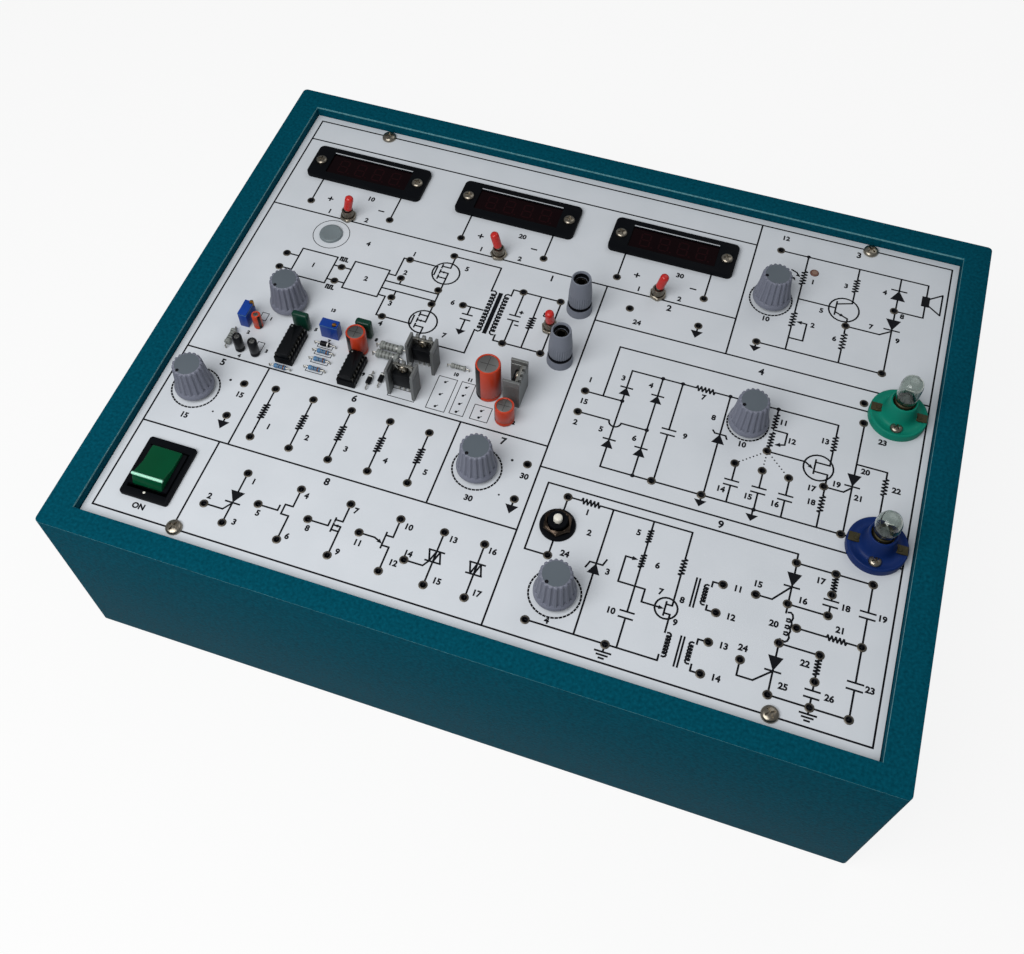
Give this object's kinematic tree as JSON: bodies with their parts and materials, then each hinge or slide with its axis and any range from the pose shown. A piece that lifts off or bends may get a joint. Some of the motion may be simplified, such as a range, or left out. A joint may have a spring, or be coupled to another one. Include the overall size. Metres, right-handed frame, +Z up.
{
  "type": "power electronics trainer",
  "caption": "Bench trainer: low teal steel box with a white circuit panel of patch sockets, panel meters, knobs, toggle switches, lamps and a lit rocker switch.",
  "frame": {"origin": "on the table, under the middle of the case", "axes": "+X to the right, +Y towards the back, +Z up; the rocker switch is at the front left"},
  "size_m": [0.4, 0.3092, 0.1397],
  "materials": {
    "case_paint": "fine texture powder coat, teal",
    "cover_paint": "plain zinc-grey",
    "rubber": "matt black",
    "panel_laminate": "white printed laminate",
    "screw_steel": "zinc plated",
    "socket_metal": "tinned",
    "bezel_plastic": "black, fine texture",
    "window_plastic": "dark red, clear",
    "module_board": "green board",
    "control_plastic": "moulded",
    "knob_plastic": "blue-grey, satin",
    "spindle_metal": "turned",
    "nut_metal": "nickel plated",
    "toggle_metal": "nickel plated",
    "sleeve_plastic": "red",
    "post_plastic": "grey",
    "brass": "turned",
    "rocker_plastic": "green, translucent",
    "green_plastic": "green",
    "blue_plastic": "navy blue",
    "bulb_glass": "clear",
    "chip_plastic": "black epoxy",
    "trimmer_plastic": "blue",
    "can_sleeve": "orange-red sleeve",
    "film_coating": "dark green dip",
    "resistor_body": "light blue lacquer",
    "cement_body": "grey",
    "diode_body": "black epoxy",
    "sink_metal": "black anodised",
    "transistor_body": "black epoxy",
    "plug_plastic": "grey",
    "core_steel": "varnished laminations",
    "speaker_metal": "black",
    "inlet_plastic": "black"
  },
  "bodies": {
    "trainer": {"cabinet": "case_paint", "welded_frames": "case_paint", "bottom_cover": "cover_paint", "rubber_feet": "rubber", "cover_screws": "screw_steel", "front_panel": "panel_laminate", "panel_screws": "screw_steel", "sockets": "socket_metal", "meter_bezels": "bezel_plastic", "meter_windows": "window_plastic", "meter_displays": "module_board", "potentiometers": "control_plastic", "panel_nuts": "nut_metal", "toggle_bodies": "toggle_metal", "post_collars": "post_plastic", "post_studs": "brass", "rocker_frame": "bezel_plastic", "breaker_body": "bezel_plastic", "green_lamp_holder": "green_plastic", "blue_lamp_holder": "blue_plastic", "lamp_contacts": "brass", "lamp_bulbs": "bulb_glass", "light_sensor": "control_plastic", "blanking_plug": "plug_plastic", "dip_sockets": "chip_plastic", "dip_chips": "chip_plastic", "trimmer_bodies": "trimmer_plastic", "can_capacitors": "can_sleeve", "block_capacitors": "film_coating", "resistors": "resistor_body", "power_resistors": "cement_body", "diodes": "diode_body", "heat_sinks": "sink_metal", "power_transistors": "transistor_body", "transformer": "core_steel", "supply_board": "module_board", "speaker": "speaker_metal", "mains_inlet": "inlet_plastic"},
    "pwm_control": {"knob_pwm": "knob_plastic", "spindle_pwm": "spindle_metal"},
    "dc_left_control": {"knob_dc_left": "knob_plastic", "spindle_dc_left": "spindle_metal"},
    "dc_right_control": {"knob_dc_right": "knob_plastic", "spindle_dc_right": "spindle_metal"},
    "inverter_control": {"knob_inverter": "knob_plastic", "spindle_inverter": "spindle_metal"},
    "flasher_control": {"knob_flasher": "knob_plastic", "spindle_flasher": "spindle_metal"},
    "alarm_control": {"knob_alarm": "knob_plastic", "spindle_alarm": "spindle_metal"},
    "toggle_1": {"toggle_lever_1": "sleeve_plastic"},
    "toggle_2": {"toggle_lever_2": "sleeve_plastic"},
    "toggle_3": {"toggle_lever_3": "sleeve_plastic"},
    "toggle_4": {"toggle_lever_4": "sleeve_plastic"},
    "post_1": {"post_cap_1": "post_plastic"},
    "post_2": {"post_cap_2": "post_plastic"},
    "power_rocker": {"rocker": "rocker_plastic"},
    "breaker_reset": {"breaker_button": "plug_plastic"},
    "trimmer_1": {"trimmer_screw_1": "brass"},
    "trimmer_2": {"trimmer_screw_2": "brass"}
  },
  "joints": [
    {"name": "pwm_turn", "type": "hinge", "parent": "trainer", "child": "pwm_control", "pos_m": [-0.1434, 0.0047, 0.1082], "axis": [0, 0, 1], "range_deg": [-300, 0]},
    {"name": "dc_left_turn", "type": "hinge", "parent": "trainer", "child": "dc_left_control", "pos_m": [-0.166, -0.0592, 0.1082], "axis": [0, 0, 1], "range_deg": [-300, 0]},
    {"name": "dc_right_turn", "type": "hinge", "parent": "trainer", "child": "dc_right_control", "pos_m": [-0.017, -0.0592, 0.1082], "axis": [0, 0, 1], "range_deg": [-300, 0]},
    {"name": "inverter_turn", "type": "hinge", "parent": "trainer", "child": "inverter_control", "pos_m": [0.0375, -0.1095, 0.1082], "axis": [0, 0, 1], "range_deg": [-300, 0]},
    {"name": "flasher_turn", "type": "hinge", "parent": "trainer", "child": "flasher_control", "pos_m": [0.1, 0.0066, 0.1082], "axis": [0, 0, 1], "range_deg": [-282, 18]},
    {"name": "alarm_turn", "type": "hinge", "parent": "trainer", "child": "alarm_control", "pos_m": [0.095, 0.087, 0.1082], "axis": [0, 0, 1], "range_deg": [-265, 35]},
    {"name": "toggle_1_flip", "type": "hinge", "parent": "trainer", "child": "toggle_1", "pos_m": [-0.138, 0.071, 0.1134], "axis": [0, -1, 0], "range_deg": [0, 26]},
    {"name": "toggle_2_flip", "type": "hinge", "parent": "trainer", "child": "toggle_2", "pos_m": [-0.0502, 0.071, 0.1134], "axis": [0, 1, 0], "range_deg": [0, 26]},
    {"name": "toggle_3_flip", "type": "hinge", "parent": "trainer", "child": "toggle_3", "pos_m": [0.0381, 0.071, 0.1134], "axis": [0, -1, 0], "range_deg": [0, 26]},
    {"name": "toggle_4_flip", "type": "hinge", "parent": "trainer", "child": "toggle_4", "pos_m": [-0.009, 0.0319, 0.1134], "axis": [-1, 0, 0], "range_deg": [0, 26]},
    {"name": "post_1_unscrew", "type": "slide", "parent": "trainer", "child": "post_1", "axis": [0, 0, 1], "range_m": [0, 0.006]},
    {"name": "post_2_unscrew", "type": "slide", "parent": "trainer", "child": "post_2", "axis": [0, 0, 1], "range_m": [0, 0.006]},
    {"name": "power_rock", "type": "hinge", "parent": "trainer", "child": "power_rocker", "pos_m": [-0.1601, -0.1092, 0.1082], "axis": [1, 0, 0], "range_deg": [0, 22]},
    {"name": "breaker_pop", "type": "slide", "parent": "trainer", "child": "breaker_reset", "axis": [0, 0, 1], "range_m": [0, 0.003]},
    {"name": "trimmer_1_turn", "type": "hinge", "parent": "trainer", "child": "trimmer_1", "pos_m": [-0.1578, -0.0076, 0.1182], "axis": [0, 0, 1], "continuous": true},
    {"name": "trimmer_2_turn", "type": "hinge", "parent": "trainer", "child": "trimmer_2", "pos_m": [-0.1115, -0.008, 0.1182], "axis": [0, 0, 1], "continuous": true}
  ]
}
